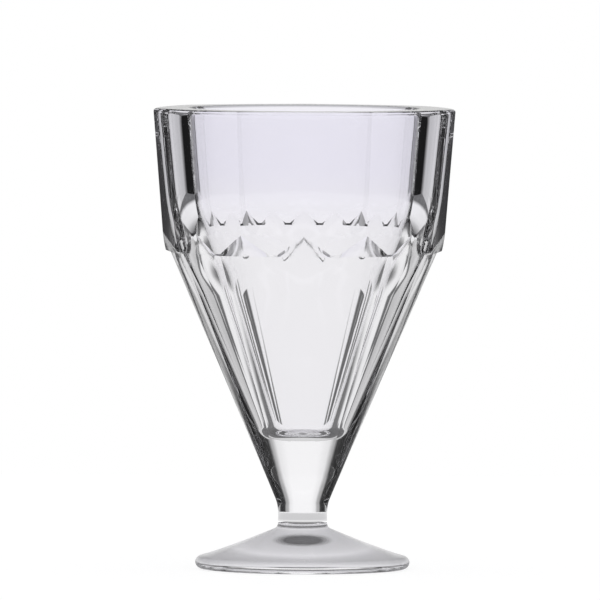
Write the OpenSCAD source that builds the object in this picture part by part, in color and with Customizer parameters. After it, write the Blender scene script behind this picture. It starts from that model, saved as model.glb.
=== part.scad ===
// Parfait glass of clear pressed glass: a wide cup with a thick panelled band, a row of pointed
// teeth under the band, a cone with a facet under each tooth, a short solid stem and a round foot.
// The axis stands on the origin, one panel faces -Y, and the table is at z = 0.

/* [Overall] */
// Height from the table to the rim
glass_h = 149.3; // [144:0.1:165]
// Number of panels round the cup
panels = 7; // [6:1:9]

/* [Band] */
// Radius over the creases at the rim
rim_r = 50.1; // [48:0.1:54]
// Radius over the creases at the points of the teeth
band_foot_r = 46.8; // [46:0.1:49]
// Height from the points of the teeth to the rim
band_h = 39.9; // [36:0.1:46]
// How round a band panel is, from flat at 0 to fully round at 1
band_round_share = 0.5; // [0:0.05:1]
// Rounding of the rim's outer edge
rim_round = 0.9; // [0.6:0.1:2.4]

/* [Teeth] */
// Number of teeth on each panel
teeth_per_panel = 2; // [1:1:3]
// Height of a tooth
tooth_h = 6.2; // [4:0.1:9]
// Radius over the creases at the foot of the teeth
tooth_foot_r = 43.1; // [42:0.1:45]
// Width of the valley between two teeth
valley_w = 2.9; // [1:0.1:5]
// Height of the ledge under a valley
ledge_h = 0.7; // [0.3:0.1:1.5]

/* [Cone] */
// How round a facet of the cone is, from flat at 0 to fully round at 1
facet_round_share = 0.6; // [0:0.05:1]

/* [Bore] */
// Radius of the bore at the rim
bore_rim_r = 36.7; // [34:0.1:39]
// Radius of the bore at the lower end of its straight upper part
bore_band_r = 33.2; // [32:0.1:34.5]
// Height of that upper part, down from the rim
bore_band_h = 37.3; // [34:0.1:42]
// Rounding between the upper part and the shoulder
bore_band_round = 40; // [20:1:45]
// Radius of the bore under the shoulder
bore_cone_r = 25.8; // [25:0.1:28]
// Height of the shoulder, over which the wall grows thicker
shoulder_h = 17; // [15:0.1:19]
// Rounding between the shoulder and the lower part
bore_cone_round = 30; // [10:1:40]
// Radius of the bore where its wall meets the floor
bore_floor_r = 8.8; // [7:0.1:11]
// Rounding between the wall and the floor of the bore
bore_floor_round = 5; // [1:0.1:6]
// Rounding of the rim's inner edge
lip_round = 1.6; // [0.6:0.1:2.4]
// Thickness of the glass from the bore's floor to the stem
floor_t = 6.6; // [3:0.1:8]

/* [Stem] */
// Height of the solid stem
stem_h = 22.5; // [20:0.5:26]
// Radius over the creases at the top of the stem
stem_top_r = 15.3; // [14:0.1:17]
// Radius of the round neck
neck_r = 7.95; // [7:0.05:9]
// Height of the neck, up to where the stem starts to widen
neck_h = 5.1; // [4:0.1:7]
// Rounding between the neck and the widening stem
neck_round = 12; // [6:0.5:16]
// Height over which the facets fade into the round neck
fade_h = 10; // [6:0.5:14]

/* [Foot] */
// Radius of the foot
foot_r = 34.7; // [31:0.1:38]
// Height of the foot, up to the neck
foot_h = 15.5; // [14:0.1:18]
// Height of the foot's edge
foot_edge_h = 3.6; // [2.8:0.1:4.5]
// Rounding of the foot's upper edge
foot_top_round = 2; // [1:0.1:2.4]
// Rounding of the foot's lower edge
foot_under_round = 2.1; // [1:0.1:2.4]
// Rounding between the foot and the neck
foot_neck_round = 2; // [1:0.1:3]
// How strongly the top of the foot dishes, where 1 is a straight cone
foot_dish_share = 1.14; // [1:0.02:1.4]

/* [Hidden] */
overrun = 1;
tiny_share = 0.001;
glass_tint = [0.90, 0.89, 0.95, 0.45];

// Heights above the table
stem_top_z = foot_h + stem_h;
bore_floor_z = stem_top_z + floor_t;
tooth_tip_z = glass_h - band_h;
valley_z = tooth_tip_z - tooth_h;
tooth_foot_z = valley_z - ledge_h;
bore_band_z = glass_h - bore_band_h;
bore_cone_z = bore_band_z - shoulder_h;
flare_z = foot_h + neck_h;

// Steps along an arc, along a tooth's flank and along the fading facets
arc_steps = 8;
rim_steps = 5;
flank_steps = 4;
fade_steps = 7;

// Angles of the panels and the teeth
half_panel = 180 / panels;
tooth_pitch = 2 * half_panel / teeth_per_panel;
half_valley = asin(valley_w / 2 / band_foot_r);
half_facet = tooth_pitch / 2;
half_tooth = half_facet - half_valley;

// Radius of a panel at an angle from its middle, where the creases lie at radius 1 and at the angle half.
// The panel is an arc through both creases. Its rise above the chord is a share of a full round's.
function panel_at(angle, half, share) =
    let (rise = (1 - cos(half)) * share)
    rise < tiny_share ? cos(half) / cos(angle) :
    let (arc_r = (pow(sin(half), 2) + pow(rise, 2)) / (2 * rise),
         arc_y = cos(half) + rise - arc_r,
         along = arc_y * cos(angle))
    along + sqrt(pow(along, 2) - pow(arc_y, 2) + pow(arc_r, 2));

// Angle from the middle of the panel or tooth that lies nearest
function from_middle(turn, half) = turn - 2 * half * round(turn / (2 * half));

// One point of a wall of panels or facets, where turn 0 faces -Y and half is the angle of half a panel
function wall_point(turn, half, crease_r, z, share) =
    let (r = crease_r * panel_at(from_middle(turn, half), half, share))
    [r * sin(turn), -r * cos(turn), z];

// One ring of the faceted wall of the cone and the stem
function facet_ring(crease_r, z, share) =
    [for (turn = wall_turns()) wall_point(turn, half_facet, crease_r, z, share)];

// Turns of the columns: each tooth has its flanks in equal steps, and one lies in the valley's middle
function wall_turns() = [
    for (k = [0 : panels * teeth_per_panel - 1])
        for (turn = concat([for (i = [-flank_steps : flank_steps]) i * half_tooth / flank_steps], [half_facet]))
            k * tooth_pitch + turn
];

// Rounded corner at b between a and c, as an arc that touches both lines
function corner(a, b, c, radius) =
    let (u = (a - b) / norm(a - b),
         v = (c - b) / norm(c - b),
         half = acos(u * v) / 2,
         start = b + u * radius / tan(half),
         middle = b + (u + v) / norm(u + v) * radius / sin(half),
         side = start - middle,
         way = sign(u[1] * v[0] - u[0] * v[1]))
    [for (i = [0 : arc_steps])
        let (bend = way * (180 - 2 * half) * i / arc_steps)
        middle + [side[0] * cos(bend) - side[1] * sin(bend), side[0] * sin(bend) + side[1] * cos(bend)]];

// Closed solid through rings of equal count, listed from the bottom up, with a fan at each end
module ring_solid(rings) {
    count = len(rings[0]);
    last = len(rings) - 1;
    bottom_z = rings[0][0][2];
    top_z = rings[last][0][2];
    points = concat([for (ring = rings) for (point = ring) point], [[0, 0, bottom_z], [0, 0, top_z]]);
    bottom_middle = len(rings) * count;
    top_middle = bottom_middle + 1;
    next = [for (i = [0 : count - 1]) (i + 1) % count];
    bottom = [for (i = [0 : count - 1]) [bottom_middle, i, next[i]]];
    top = [for (i = [0 : count - 1]) [top_middle, last * count + next[i], last * count + i]];
    sides = [
        for (k = [0 : last - 1])
            for (i = [0 : count - 1])
                for (half = [[i, i + count, next[i] + count], [i, next[i] + count, next[i]]])
                    [for (p = half) k * count + p]
    ];
    polyhedron(points, concat(bottom, sides, top));
}

// Radius over the creases on the band's slope, which runs on below the points of the teeth
function band_r(z) = rim_r + (band_foot_r - rim_r) * (glass_h - z) / band_h;

// Height of the band's lower edge: a point at a tooth's middle and the valley's height between teeth
function tooth_z(turn) =
    valley_z + tooth_h * max(0, 1 - abs(from_middle(turn, half_facet)) / half_tooth);

// One point of the band's panelled wall
function band_point(turn, z) = wall_point(turn, half_panel, band_r(z), z, band_round_share);

// Outside of the cup, from the stem to the rim
module cup_outside() {
    edge_z = glass_h - rim_round;
    rim_rings = [
        for (i = [0 : rim_steps])
            let (bend = 90 * i / rim_steps)
            [for (turn = wall_turns())
                let (p = band_point(turn, edge_z),
                     r = norm([p[0], p[1]]))
                [p[0], p[1], 0] * (1 - rim_round * (1 - cos(bend)) / r) + [0, 0, edge_z + rim_round * sin(bend)]]
    ];
    ring_solid(concat(
        [facet_ring(stem_top_r, stem_top_z, facet_round_share)],
        [facet_ring(tooth_foot_r, tooth_foot_z, facet_round_share)],
        [[for (turn = wall_turns()) band_point(turn, tooth_z(turn))]],
        rim_rings
    ));
}

// Inside of the cup: a smooth round bore with a rounded lip, a soft shoulder and a flat floor
module bore() {
    axis_floor = [0, bore_floor_z];
    floor_edge = [bore_floor_r, bore_floor_z];
    shoulder_foot = [bore_cone_r, bore_cone_z];
    shoulder_top = [bore_band_r, bore_band_z];
    rim = [bore_rim_r, glass_h];
    outward = [rim_r, glass_h];
    lip = corner(shoulder_top, rim, outward, lip_round);
    rotate_extrude($fn = 96)
        polygon(concat(
            [axis_floor],
            corner(axis_floor, floor_edge, shoulder_foot, bore_floor_round),
            corner(floor_edge, shoulder_foot, shoulder_top, bore_cone_round),
            corner(shoulder_foot, shoulder_top, rim, bore_band_round),
            lip,
            [[lip[arc_steps][0], glass_h + overrun], [0, glass_h + overrun]]
        ));
}

// The cup: the toothed band and the cone in one wall round the bore
module bowl() {
    color(glass_tint)
        difference() {
            cup_outside();
            bore();
        }
}

// The solid stem, whose facets carry on from the cone and fade into the round neck
module stem() {
    top = [stem_top_r, stem_top_z];
    flare = corner([neck_r, foot_h], [neck_r, flare_z], top, neck_round);
    fade_top_z = flare[arc_steps][1] + fade_h;
    slope = (stem_top_r - flare[arc_steps][0]) / (stem_top_z - flare[arc_steps][1]);
    upper = [
        for (i = [1 : fade_steps])
            let (z = flare[arc_steps][1] + (stem_top_z - flare[arc_steps][1]) * i / fade_steps)
            [flare[arc_steps][0] + slope * (z - flare[arc_steps][1]), z]
    ];
    outline = concat([[neck_r, foot_h]], flare, upper);
    color(glass_tint)
        ring_solid([
            for (p = outline)
                let (faded = max(0, min(1, (fade_top_z - p[1]) / fade_h)))
                facet_ring(p[0], p[1], facet_round_share + (1 - facet_round_share) * faded)
        ]);
}

// The foot: a round disc with a dished top, rounded at its edge and into the neck
module foot() {
    edge = [foot_r, foot_edge_h];
    neck_z = foot_h - foot_neck_round;
    dish = [
        for (i = [1 : arc_steps - 1])
            let (way = i / arc_steps)
            [foot_r + (neck_r - foot_r) * way, foot_edge_h + (neck_z - foot_edge_h) * pow(way, foot_dish_share)]
    ];
    color(glass_tint)
        rotate_extrude($fn = 96)
            polygon(concat(
                [[0, 0]],
                corner([0, 0], [foot_r, 0], edge, foot_under_round),
                corner([foot_r, 0], edge, dish[0], foot_top_round),
                [for (i = [1 : arc_steps - 2]) dish[i]],
                corner(dish[arc_steps - 2], [neck_r, neck_z], [neck_r, foot_h], foot_neck_round),
                [[neck_r, foot_h], [0, foot_h]]
            ));
}

bowl();
stem();
foot();
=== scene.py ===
import bpy
import numpy as np
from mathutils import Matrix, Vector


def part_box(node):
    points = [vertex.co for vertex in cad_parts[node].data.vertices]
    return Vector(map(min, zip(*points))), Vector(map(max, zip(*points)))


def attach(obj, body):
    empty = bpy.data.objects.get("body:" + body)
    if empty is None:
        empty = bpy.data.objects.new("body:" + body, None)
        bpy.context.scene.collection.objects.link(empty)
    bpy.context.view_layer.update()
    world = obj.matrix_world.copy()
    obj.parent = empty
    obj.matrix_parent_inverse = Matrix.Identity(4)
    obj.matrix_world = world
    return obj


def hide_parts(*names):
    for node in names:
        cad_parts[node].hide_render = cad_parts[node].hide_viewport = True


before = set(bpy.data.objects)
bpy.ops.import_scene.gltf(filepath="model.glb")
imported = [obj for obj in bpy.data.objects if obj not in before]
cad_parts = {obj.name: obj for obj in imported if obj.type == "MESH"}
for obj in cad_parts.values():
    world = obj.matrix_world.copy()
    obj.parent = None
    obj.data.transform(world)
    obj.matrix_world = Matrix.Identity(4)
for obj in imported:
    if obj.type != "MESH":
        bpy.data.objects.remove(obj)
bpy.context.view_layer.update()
scene = bpy.context.scene


# The camera: a long lens far away, a little above the rim, because the rim and the foot both show
# as thin ellipses of the same tilt. The glass leans by a quarter of a degree in the picture.
MM = 0.001
PIXEL = 0.324 * MM
FRAME_PIXELS = 600
AXIS_PIXEL_X = 303.6
TABLE_PIXEL_Y = 568.7
CAMERA_DISTANCE = 4.5
CAMERA_RISE = np.radians(2.4)
CAMERA_ROLL = np.radians(0.28)
SENSOR_W = 36
GLASS_BOUNCES = 32
GLOSS_BOUNCES = 16

camera_data = bpy.data.cameras.new("camera")
camera = bpy.data.objects.new("camera", camera_data)
scene.collection.objects.link(camera)
scene.camera = camera
picture_middle_z = (TABLE_PIXEL_Y - FRAME_PIXELS / 2) * PIXEL
camera_z = picture_middle_z + CAMERA_DISTANCE * np.sin(CAMERA_RISE)
camera.location = (0, -CAMERA_DISTANCE * np.cos(CAMERA_RISE), camera_z)
camera.rotation_mode = "ZYX"
camera.rotation_euler = (np.pi / 2 - CAMERA_RISE, 0, CAMERA_ROLL)
camera_data.sensor_width = SENSOR_W
camera_data.lens = SENSOR_W * CAMERA_DISTANCE / (FRAME_PIXELS * PIXEL)
camera_data.shift_x = (FRAME_PIXELS / 2 - AXIS_PIXEL_X) / FRAME_PIXELS
scene.view_settings.view_transform = "Standard"
scene.cycles.max_bounces = GLASS_BOUNCES
scene.cycles.transmission_bounces = GLASS_BOUNCES
scene.cycles.transparent_max_bounces = GLASS_BOUNCES
scene.cycles.glossy_bounces = GLOSS_BOUNCES


# The bowl: a pressed cup with a thick band of seven gently bowed panels, a row of pointed teeth under
# the band, a cone with a facet under each tooth, and a smooth round bore that narrows at a soft
# shoulder behind the teeth. It is clear glass, pressed in a mould and fire polished.
PANELS = 7
TEETH = 2 * PANELS
RIM_R = 50.1 * MM
BAND_FOOT_R = 46.8 * MM
BAND_H = 39.9 * MM
BAND_ROUNDNESS = 0.5
RIM_ROUND = 0.9 * MM
TOOTH_H = 6.2 * MM
TOOTH_FOOT_R = 43.1 * MM
VALLEY_W = 2.9 * MM
LEDGE_H = 0.7 * MM
FACET_ROUNDNESS = 0.6
STEM_TOP_R = 15.3 * MM

BORE_RIM_R = 36.7 * MM
BORE_BAND_R = 33.2 * MM
BORE_BAND_H = 37.3 * MM
BORE_BAND_ROUND = 80 * MM
BORE_CONE_R = 25.8 * MM
SHOULDER_H = 17 * MM
BORE_CONE_ROUND = 80 * MM
BORE_FLOOR_R = 8.8 * MM
BORE_FLOOR_ROUND = 5 * MM
LIP_ROUND = 1.6 * MM
FLOOR_T = 6.6 * MM

FLANK_STEPS = 9
VALLEY_STEPS = 6
CONE_STEPS = 14
TOOTH_STEPS = 5
BAND_STEPS = 16
RIM_STEPS = 6
RIM_TOP_STEPS = 4
LIP_STEPS = 7
BORE_BAND_STEPS = 10
SHOULDER_TOP_STEPS = 20
SHOULDER_STEPS = 3
SHOULDER_FOOT_STEPS = 12
BORE_CONE_STEPS = 24
FLOOR_EDGE_STEPS = 14
FLOOR_STEPS = 6
SHARP_ANGLE = np.radians(9)

CONE_TINT = (0.99, 0.985, 1.0, 1)
BAND_TINT = (0.955, 0.945, 1.0, 1)
GLASS_IOR = 1.52
WAVE_SCALE = 75
WAVE_DETAIL = 1.5
WAVE_HEIGHT = 0.02 * MM
TOOTH_ROUGHNESS = 0.12

rim_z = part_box("bowl")[1].z
bowl_foot_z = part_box("bowl")[0].z
valley_z = rim_z - BAND_H - TOOTH_H
tooth_foot_z = valley_z - LEDGE_H
bore_floor_z = bowl_foot_z + FLOOR_T
half_panel = np.pi / PANELS
half_facet = np.pi / TEETH
half_tooth = half_facet - VALLEY_W / 2 / BAND_FOOT_R


def from_middle(turn, half):
    """Angle from the middle of the nearest panel: the turn less the nearest multiple of twice half."""
    return turn - 2 * half * np.round(turn / (2 * half))


def panel_share(turn, half, roundness):
    """Radius of a ring of panels whose creases lie at radius 1, where half is half a panel's angle.

    A panel is an arc through both of its creases. Its rise above the straight chord is the roundness
    times the rise of a full circle, so a small roundness gives flat panels, and 1 gives a round ring.
    """
    angle = from_middle(turn, half)
    rise = (1 - np.cos(half)) * roundness
    arc_r = (np.sin(half) ** 2 + rise**2) / (2 * rise)
    arc_y = np.cos(half) + rise - arc_r
    along = arc_y * np.cos(angle)
    return along + np.sqrt(along**2 - arc_y**2 + arc_r**2)


def band_r(z):
    """Radius over the band's creases, a straight slope from the rim to the points of the teeth."""
    return RIM_R + (BAND_FOOT_R - RIM_R) * (rim_z - z) / BAND_H


def ring(turn, radius, z):
    """Points at a radius and height for each turn, where turn 0 faces -Y and turns run towards +X."""
    radius, z = np.broadcast_arrays(radius + 0 * turn, z + 0 * turn)
    return np.stack([radius * np.sin(turn), -radius * np.cos(turn), z], -1)


def arc_corner(before, corner, after, radius, steps):
    """Rounded corner of an outline: the arc of that radius that touches both straight lines.

    The arc starts the radius over the tangent of half the corner's angle away from the corner, and
    its centre lies on the line that halves the angle, the radius over the sine of half of it away.
    """
    before, corner, after = (np.array(point, float) for point in (before, corner, after))
    back = (before - corner) / np.linalg.norm(before - corner)
    ahead = (after - corner) / np.linalg.norm(after - corner)
    half = np.arccos(back @ ahead) / 2
    start = corner + back * radius / np.tan(half)
    centre = corner + (back + ahead) / np.linalg.norm(back + ahead) * radius / np.sin(half)
    side = start - centre
    way = np.sign(back[1] * ahead[0] - back[0] * ahead[1])
    bend = way * (np.pi - 2 * half) * np.linspace(0, 1, steps + 1)
    x = side[0] * np.cos(bend) - side[1] * np.sin(bend)
    y = side[0] * np.sin(bend) + side[1] * np.cos(bend)
    return centre + np.stack([x, y], -1)


def line(start, end, steps):
    """Points between two points of an outline, without the ends, in equal steps."""
    share = np.linspace(0, 1, steps + 1)[1:-1, None]
    return np.array(start) * (1 - share) + np.array(end) * share


def principled(name):
    """New material of that name, and its Principled shader."""
    material = bpy.data.materials.new(name)
    material.use_nodes = True
    return material, material.node_tree.nodes["Principled BSDF"]


def split_place(tree, coordinates):
    """X, Y and Z of an object's own coordinates, or of the directions that a world is seen in."""
    place = tree.nodes.new("ShaderNodeTexCoord")
    parts = tree.nodes.new("ShaderNodeSeparateXYZ")
    tree.links.new(place.outputs[coordinates], parts.inputs[0])
    return parts.outputs


def reckon(operation, *values):
    """One step of arithmetic on sockets and numbers, in the node tree that its sockets are in."""
    sockets = [value for value in values if isinstance(value, bpy.types.NodeSocket)]
    tree = sockets[0].id_data
    step = tree.nodes.new("ShaderNodeMath")
    step.operation = operation
    for socket, value in zip(step.inputs, values):
        if value in sockets:
            tree.links.new(value, socket)
        else:
            socket.default_value = value
    return step.outputs[0]


def step_up(value, start, end):
    """0 under start, 1 over end, and a straight rise between them."""
    tree = value.id_data
    slope = tree.nodes.new("ShaderNodeMapRange")
    slope.inputs["From Min"].default_value = start
    slope.inputs["From Max"].default_value = end
    tree.links.new(value, slope.inputs["Value"])
    return slope.outputs["Result"]


def colour_socket(sockets, name):
    """The colour socket of that name on a Mix node, which has others of the same name."""
    return [socket for socket in sockets if socket.name == name and socket.type == "RGBA"][0]


# Clear glass: a faint lavender that deepens where the band is thick, a surface that waves by hundredths
# of a millimetre as pressed glass does, and slightly matt faces where the mould cut the teeth.
clear_glass, glass = principled("clear_glass")
tree = clear_glass.node_tree
glass.inputs["IOR"].default_value = GLASS_IOR
glass.inputs["Transmission Weight"].default_value = 1
tint = tree.nodes.new("ShaderNodeMix")
tint.data_type = "RGBA"
colour_socket(tint.inputs, "A").default_value = CONE_TINT
colour_socket(tint.inputs, "B").default_value = BAND_TINT
thick = step_up(split_place(tree, "Object")["Z"], valley_z, rim_z - BAND_H / 2)
tree.links.new(thick, tint.inputs[0])
tree.links.new(colour_socket(tint.outputs, "Result"), glass.inputs["Base Color"])
tooth_mark = tree.nodes.new("ShaderNodeAttribute")
tooth_mark.attribute_name = "tooth"
tree.links.new(reckon("MULTIPLY", tooth_mark.outputs["Fac"], TOOTH_ROUGHNESS), glass.inputs["Roughness"])
place = tree.nodes.new("ShaderNodeTexCoord")
waves = tree.nodes.new("ShaderNodeTexNoise")
waves.inputs["Scale"].default_value = WAVE_SCALE
waves.inputs["Detail"].default_value = WAVE_DETAIL
tree.links.new(place.outputs["Object"], waves.inputs["Vector"])
bump = tree.nodes.new("ShaderNodeBump")
bump.inputs["Strength"].default_value = 1
bump.inputs["Distance"].default_value = WAVE_HEIGHT
tree.links.new(waves.outputs["Fac"], bump.inputs["Height"])
tree.links.new(bump.outputs["Normal"], glass.inputs["Normal"])

# Where two sections are fused the light passes as if there were no face.
fused_join, join = principled("fused_join")
join.inputs["Alpha"].default_value = 0


def closed_solid(name, rings, joined):
    """Closed mesh through rings of equal count, with a fan to the axis at each end.

    The rings run up the outside first, so that faces point out of the glass. The fans named in
    joined get the second material, because there the piece is fused to its neighbour.
    """
    rings = np.asarray(rings)
    rows, count = rings.shape[:2]
    here = np.arange(count)
    there = np.roll(here, -1)
    first = np.arange(rows - 1)[:, None] * count
    above = first + count
    walls = np.stack([first + here, first + there, above + there, above + here], -1).reshape(-1, 4)
    last = (rows - 1) * count
    foot_fan = np.stack([there, here, np.full(count, rows * count)], -1)
    top_fan = np.stack([last + here, last + there, np.full(count, rows * count + 1)], -1)
    poles = rings[[0, -1]].mean(1)
    points = np.vstack([rings.reshape(-1, 3), poles])
    mesh = bpy.data.meshes.new(name)
    mesh.from_pydata(points.tolist(), [], walls.tolist() + foot_fan.tolist() + top_fan.tolist())
    slots = np.zeros(len(mesh.polygons), np.int32)
    if "foot" in joined:
        slots[len(walls):len(walls) + count] = 1
    if "top" in joined:
        slots[len(walls) + count:] = 1
    mesh.materials.append(clear_glass)
    mesh.materials.append(fused_join)
    mesh.polygons.foreach_set("material_index", slots)
    mesh.polygons.foreach_set("use_smooth", np.ones(len(mesh.polygons), bool))
    mesh.set_sharp_from_angle(angle=SHARP_ANGLE)
    piece = bpy.data.objects.new(name, mesh)
    scene.collection.objects.link(piece)
    return piece


# The turns of every ring: close steps over each tooth and a few over each valley between two teeth.
flank = np.linspace(-half_tooth, half_tooth, 2 * FLANK_STEPS + 1)
valley = np.linspace(half_tooth, 2 * half_facet - half_tooth, VALLEY_STEPS + 1)[1:-1]
turns = (np.arange(TEETH)[:, None] * 2 * half_facet + np.concatenate([flank, valley])).ravel()
lift = np.maximum(0, 1 - np.abs(from_middle(turns, half_facet)) / half_tooth)
edge_z = valley_z + TOOTH_H * lift
faceted = panel_share(turns, half_facet, FACET_ROUNDNESS)
bowed = panel_share(turns, half_panel, BAND_ROUNDNESS)

# The outside: the cone, the short slanted tooth faces, the band and its rounded rim.
up = np.linspace(0, 1, CONE_STEPS + 1)[:, None]
cone_r = (STEM_TOP_R + (TOOTH_FOOT_R - STEM_TOP_R) * up) * faceted
cone = ring(turns, cone_r, bowl_foot_z + (tooth_foot_z - bowl_foot_z) * up)
tooth_edge = ring(turns, band_r(edge_z) * bowed, edge_z)
out = np.linspace(0, 1, TOOTH_STEPS + 1)[1:, None, None]
tooth_faces = cone[-1] * (1 - out) + tooth_edge * out
up = np.linspace(0, 1, BAND_STEPS + 1)[1:, None]
band_z = edge_z + (rim_z - RIM_ROUND - edge_z) * up
band = ring(turns, band_r(band_z) * bowed, band_z)
bend = np.linspace(0, np.pi / 2, RIM_STEPS + 1)[1:, None]
rim_r = band_r(rim_z - RIM_ROUND) * bowed - RIM_ROUND * (1 - np.cos(bend))
rim = ring(turns, rim_r, rim_z - RIM_ROUND * (1 - np.sin(bend)))

# The inside: the lip, the band's wall, the soft shoulder, the cone's wall and the floor.
bore_rim = (BORE_RIM_R, rim_z)
shoulder_top = (BORE_BAND_R, rim_z - BORE_BAND_H)
shoulder_foot = (BORE_CONE_R, rim_z - BORE_BAND_H - SHOULDER_H)
floor_edge = (BORE_FLOOR_R, bore_floor_z)
floor_middle = (0, bore_floor_z)
lip = arc_corner((RIM_R, rim_z), bore_rim, shoulder_top, LIP_ROUND, LIP_STEPS)
top_bend = arc_corner(bore_rim, shoulder_top, shoulder_foot, BORE_BAND_ROUND, SHOULDER_TOP_STEPS)
foot_bend = arc_corner(shoulder_top, shoulder_foot, floor_edge, BORE_CONE_ROUND, SHOULDER_FOOT_STEPS)
floor_bend = arc_corner(shoulder_foot, floor_edge, floor_middle, BORE_FLOOR_ROUND, FLOOR_EDGE_STEPS)
outline = np.vstack([
    lip, line(lip[-1], top_bend[0], BORE_BAND_STEPS),
    top_bend, line(top_bend[-1], foot_bend[0], SHOULDER_STEPS),
    foot_bend, line(foot_bend[-1], floor_bend[0], BORE_CONE_STEPS),
    floor_bend, line(floor_bend[-1], floor_middle, FLOOR_STEPS)])
bore = ring(turns, outline[:, :1], outline[:, 1:])
across = np.linspace(0, 1, RIM_TOP_STEPS + 1)[1:-1, None, None]
rim_top = rim[-1] * (1 - across) + bore[0] * across

bowl = closed_solid("bowl_glass", np.concatenate([cone, tooth_faces, band, rim, rim_top, bore]), ["foot"])
marks = np.zeros(len(bowl.data.polygons), np.float32)
marks[(len(cone) - 1) * len(turns):(len(cone) - 1 + len(tooth_faces)) * len(turns)] = 1
bowl.data.attributes.new("tooth", "FLOAT", "FACE").data.foreach_set("value", marks)
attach(bowl, "root")
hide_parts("bowl")


# The stem: the short solid part under the bore, where the cone's facets run down and fade into a
# round neck. It is pressed with the bowl, in the same glass, and fused to the foot.
NECK_R = 7.95 * MM
NECK_H = 5.1 * MM
NECK_ROUND = 12 * MM
FADE_H = 10 * MM
NECK_STEPS = 4
FLARE_STEPS = 12
STEM_STEPS = 20

stem_foot_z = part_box("stem")[0].z
neck_foot = (NECK_R, stem_foot_z)
neck_top = (NECK_R, stem_foot_z + NECK_H)
stem_top = (STEM_TOP_R, bowl_foot_z)
flare = arc_corner(neck_foot, neck_top, stem_top, NECK_ROUND, FLARE_STEPS)
outline = np.vstack([
    neck_foot, line(neck_foot, flare[0], NECK_STEPS), flare,
    line(flare[-1], stem_top, STEM_STEPS), stem_top])
faded = np.clip((flare[-1, 1] + FADE_H - outline[:, 1:]) / FADE_H, 0, 1)
roundness = FACET_ROUNDNESS + (1 - FACET_ROUNDNESS) * faded
stem_r = outline[:, :1] * panel_share(turns, half_facet, roundness)
stem = closed_solid("stem_glass", ring(turns, stem_r, outline[:, 1:]), ["foot", "top"])
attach(stem, "root")
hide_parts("stem")


# The foot: a round disc of the same clear glass with a dished top, joined hot to the neck and
# rounded at its edge. Its underside is ground flat and matt, and its colour is painted light and shade:
# darker in the middle as a painted shadow of the stem over it, a lighter ring, and darker at the edge.
FOOT_R = 34.7 * MM
FOOT_EDGE_H = 3.6 * MM
FOOT_TOP_ROUND = 2 * MM
FOOT_UNDER_ROUND = 2.1 * MM
FOOT_NECK_ROUND = 2 * MM
FOOT_DISH = 1.14
DISH_STEPS = 29
DISH_TRIM = 3
CORNER_STEPS = 8
UNDERSIDE_STEPS = 8
FLAT_WITHIN = 0.02 * MM
GROUND_SLOT = 2
GROUND_COVER = 0.4
GROUND_TINT = (0.92, 0.905, 1)
# Painted light and shade on the ground glass against millimetres from the axis.
GROUND_LIGHT_AND_SHADE_STOPS = [
    (0, 0.25), (4.5, 0.2), (8, 0.8), (15, 0.9), (19, 0.97), (23, 0.85), (30, 0.8), (33, 0.3), (36, 0.1)]


def from_axis(parts):
    """Distance from the glass's axis in millimetres: the root of x squared plus y squared."""
    x_squared = reckon("MULTIPLY", parts["X"], parts["X"])
    y_squared = reckon("MULTIPLY", parts["Y"], parts["Y"])
    return reckon("MULTIPLY", reckon("SQRT", reckon("ADD", x_squared, y_squared)), 1 / MM)


def level_of(value, stops, tint=(1, 1, 1)):
    """Brightness against a value, in straight lines between the stops, times a tint."""
    tree = value.id_data
    full = stops[-1][0]
    ramp = tree.nodes.new("ShaderNodeValToRGB")
    tree.links.new(reckon("DIVIDE", value, full), ramp.inputs[0])
    elements = ramp.color_ramp.elements
    while len(elements) < len(stops):
        elements.new(0.5)
    for element, (at, level) in zip(elements, stops):
        element.position = at / full
        element.color = (level * tint[0], level * tint[1], level * tint[2], 1)
    return ramp.outputs[0]


neck_z = stem_foot_z - FOOT_NECK_ROUND
edge_foot = (FOOT_R, 0)
edge_top = (FOOT_R, FOOT_EDGE_H)
inwards = np.linspace(0, 1, DISH_STEPS + 1)[1:-1, None]
dish_r = FOOT_R + (NECK_R - FOOT_R) * inwards
dish = np.hstack([dish_r, FOOT_EDGE_H + (neck_z - FOOT_EDGE_H) * inwards**FOOT_DISH])
under = arc_corner((0, 0), edge_foot, edge_top, FOOT_UNDER_ROUND, CORNER_STEPS)
edge = arc_corner(edge_foot, edge_top, dish[DISH_TRIM - 1], FOOT_TOP_ROUND, CORNER_STEPS)
collar = arc_corner(dish[-DISH_TRIM], (NECK_R, neck_z), neck_foot, FOOT_NECK_ROUND, CORNER_STEPS)
outline = np.vstack([
    line((0, 0), under[0], UNDERSIDE_STEPS), under, edge, dish[DISH_TRIM:-DISH_TRIM], collar])
foot = closed_solid("foot_glass", ring(turns, outline[:, :1], outline[:, 1:]), ["top"])

ground_glass_painted_light_and_shade, ground = principled("ground_glass_painted_light_and_shade")
tree = ground_glass_painted_light_and_shade.node_tree
ground.inputs["Roughness"].default_value = 1
ground.inputs["Specular IOR Level"].default_value = 0
ground.inputs["Alpha"].default_value = GROUND_COVER
# The ground glass's base colour is painted light and shade, with the stem's painted shadow in the middle.
shade = level_of(from_axis(split_place(tree, "Object")), GROUND_LIGHT_AND_SHADE_STOPS, GROUND_TINT)
tree.links.new(shade, ground.inputs["Base Color"])
foot.data.materials.append(ground_glass_painted_light_and_shade)
centres = np.zeros(3 * len(foot.data.polygons))
foot.data.polygons.foreach_get("center", centres)
slots = np.zeros(len(foot.data.polygons), np.int32)
foot.data.polygons.foreach_get("material_index", slots)
slots[centres[2::3] < FLAT_WITHIN] = GROUND_SLOT
foot.data.polygons.foreach_set("material_index", slots)
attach(foot, "root")
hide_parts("foot")


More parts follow.
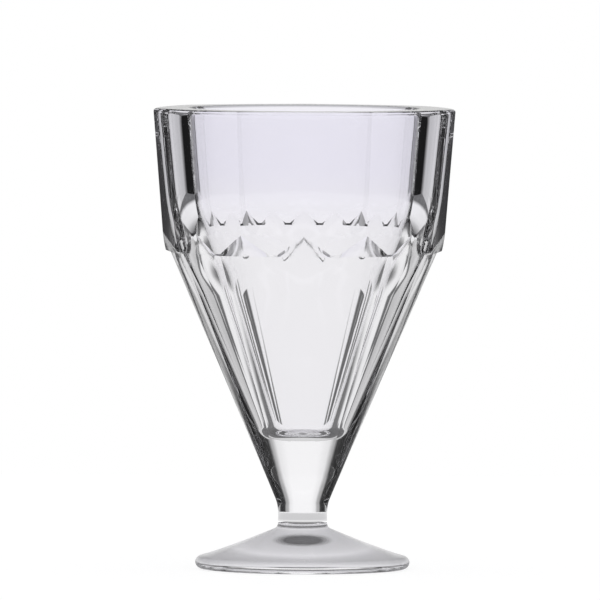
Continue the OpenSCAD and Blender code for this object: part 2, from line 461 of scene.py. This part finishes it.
# The table: a white sheet that takes the glass's soft shadow and lies a hair under the foot. The
# camera sees it as white as the background, apart from that shadow. Seen through the glass it glows
# with painted light and shade: dimmer near the foot through solid glass, and the stem's shadow under it.
TABLE_SIZE = 1.1
TABLE_GAP = 0.1 * MM
TABLE_COLOUR = (0.25, 0.25, 0.253, 1)
TABLE_GLOW = 0.81
# Light that crosses fewer faces of glass came through solid glass, and other light through the cup.
CUP_CROSSINGS = 3.5
# Painted glow and shade against millimetres from the axis: under the foot, with a painted shadow of
# the stem in the middle, through solid glass, and after a reflection.
UNDER_FOOT_GLOW_AND_SHADOW_STOPS = [
    (0, 0.15), (4.5, 0.12), (8, 0.72), (15, 0.85), (19, 1), (23, 0.75), (30, 0.6), (33, 0.1), (36, 0.05)]
SOLID_GLOW_STOPS = [(0, 0.02), (55, 0.02), (130, 0.35), (330, 0.4), (540, 0.85), (800, 0.85)]
SPREAD_STOPS = [(0, 0.0), (225, 0.02), (285, 0.65), (320, 0.75), (440, 0.75), (500, 0.0), (800, 0.0)]


def blend(share, first, second):
    """The first number or socket at share 0, the second at share 1, and a straight mix between."""
    first_part = reckon("MULTIPLY", first, reckon("SUBTRACT", 1, share))
    return reckon("ADD", first_part, reckon("MULTIPLY", second, share))


table_mesh = bpy.data.meshes.new("table")
corners = np.array([[-1, -1, 0], [1, -1, 0], [1, 1, 0], [-1, 1, 0]]) * TABLE_SIZE / 2 - [0, 0, TABLE_GAP]
table_mesh.from_pydata(corners.tolist(), [], [(0, 1, 2, 3)])
table = bpy.data.objects.new("table", table_mesh)
scene.collection.objects.link(table)

white_table, paper = principled("white_table")
tree = white_table.node_tree
paper.inputs["Base Color"].default_value = TABLE_COLOUR
paper.inputs["Roughness"].default_value = 1
paper.inputs["Specular IOR Level"].default_value = 0
paper.inputs["Emission Color"].default_value = (1, 1, 1, 1)
distance = from_axis(split_place(tree, "Object"))
rays = tree.nodes.new("ShaderNodeLightPath").outputs
# Painted light and shade: the table glows by distance from the axis for rays that come through or off the
# glass.
turned = reckon("MINIMUM", rays["Glossy Depth"], 1)
through_solid = reckon("LESS_THAN", rays["Transmission Depth"], CUP_CROSSINGS)
straight_glow = blend(through_solid, TABLE_GLOW, level_of(distance, SOLID_GLOW_STOPS))
far_glow = blend(turned, straight_glow, level_of(distance, SPREAD_STOPS))
# Painted shadow of the stem: the glow under the foot is dark near the axis.
under_foot = reckon("LESS_THAN", distance, UNDER_FOOT_GLOW_AND_SHADOW_STOPS[-1][0])
glass_glow = blend(under_foot, far_glow, level_of(distance, UNDER_FOOT_GLOW_AND_SHADOW_STOPS))
glow = blend(rays["Is Camera Ray"], glass_glow, TABLE_GLOW)
glow = blend(rays["Is Diffuse Ray"], glow, 0)
tree.links.new(glow, paper.inputs["Emission Strength"])
table_mesh.materials.append(white_table)


# The studio: white screens on four sides of the table with dimmer corners between them, and dark
# cloths round about. Light that comes straight through the glass shows the screens, and light that
# is turned round inside it shows the cloths, which gives clear glass its dark edges.
SCREENS = 4
SCREEN_LEVEL = 1.0
# Level of the even light on matt surfaces.
PLAIN_LIGHT = 0.8
# Brightness through solid glass against degrees from the middle of the nearest screen.
SOLID_STOPS = [(0, 1), (14, 1), (22, 0.88), (26, 0.47), (31, 0.42), (35, 0.05), (45, 0.02)]
# Brightness through both walls of the cup against the same degrees.
# Light that leaves the cup downwards sees the screens wider, and far down it sees nothing else.
CUP_STOPS = [(0, 1), (15, 1), (17, 0.15), (20, 0.15), (22, 0.5), (32, 0.4), (45, 0.4)]
WIDER_SCREENS = 13
WIDER_FALL = (1.5, 3)
BRIGHT_RISE = (-11, -8)
# Brightness of the cloths against the azimuth, and a share of it against the rise, in degrees.
CLOTH_STOPS = [
    (0, 0.72), (15, 0.7), (25, 0.6), (38, 0.55), (43, 0.25), (47, 0.01), (110, 0.02), (140, 0.1), (180, 0.2)]
CEILING_STOPS = [(0, 1), (7, 1), (16, 0.4), (30, 0.05), (90, 0.05)]

world = bpy.data.worlds.new("studio")
scene.world = world
world.use_nodes = True
tree = world.node_tree
tree.nodes.clear()
parts = split_place(tree, "Generated")
# The angle from straight behind the glass, and from the middle of the nearest screen, to either side.
sideways = reckon("ABSOLUTE", parts["X"])
azimuth = reckon("MULTIPLY", reckon("ARCTAN2", sideways, parts["Y"]), np.degrees(1))
spacing = 360 / SCREENS
past = reckon("MODULO", reckon("ADD", azimuth, spacing / 2), spacing)
off_screen = reckon("ABSOLUTE", reckon("SUBTRACT", past, spacing / 2))
rise = reckon("MULTIPLY", reckon("ARCSINE", parts["Z"]), np.degrees(1))
rays = tree.nodes.new("ShaderNodeLightPath").outputs
turned = reckon("MINIMUM", rays["Glossy Depth"], 1)
through_cup = reckon("GREATER_THAN", rays["Transmission Depth"], CUP_CROSSINGS)
relit = reckon("MINIMUM", rays["Diffuse Depth"], 1)

wider = reckon("MULTIPLY", step_up(reckon("MULTIPLY", rise, -1), *WIDER_FALL), WIDER_SCREENS)
cup_light = level_of(reckon("MAXIMUM", reckon("SUBTRACT", off_screen, wider), 0), CUP_STOPS)
cup_light = blend(step_up(rise, *BRIGHT_RISE), SCREEN_LEVEL, cup_light)
solid_light = level_of(off_screen, SOLID_STOPS)
ceiling_share = level_of(reckon("MAXIMUM", rise, 0), CEILING_STOPS)
cloth_light = reckon("MULTIPLY", level_of(azimuth, CLOTH_STOPS), ceiling_share)
light = blend(turned, blend(through_cup, solid_light, cup_light), cloth_light)
light = blend(relit, light, PLAIN_LIGHT)
light = blend(rays["Is Camera Ray"], light, 1)
background = tree.nodes.new("ShaderNodeBackground")
background.inputs["Color"].default_value = (1, 1, 1, 1)
tree.links.new(light, background.inputs["Strength"])
output = tree.nodes.new("ShaderNodeOutputWorld")
tree.links.new(background.outputs[0], output.inputs[0])
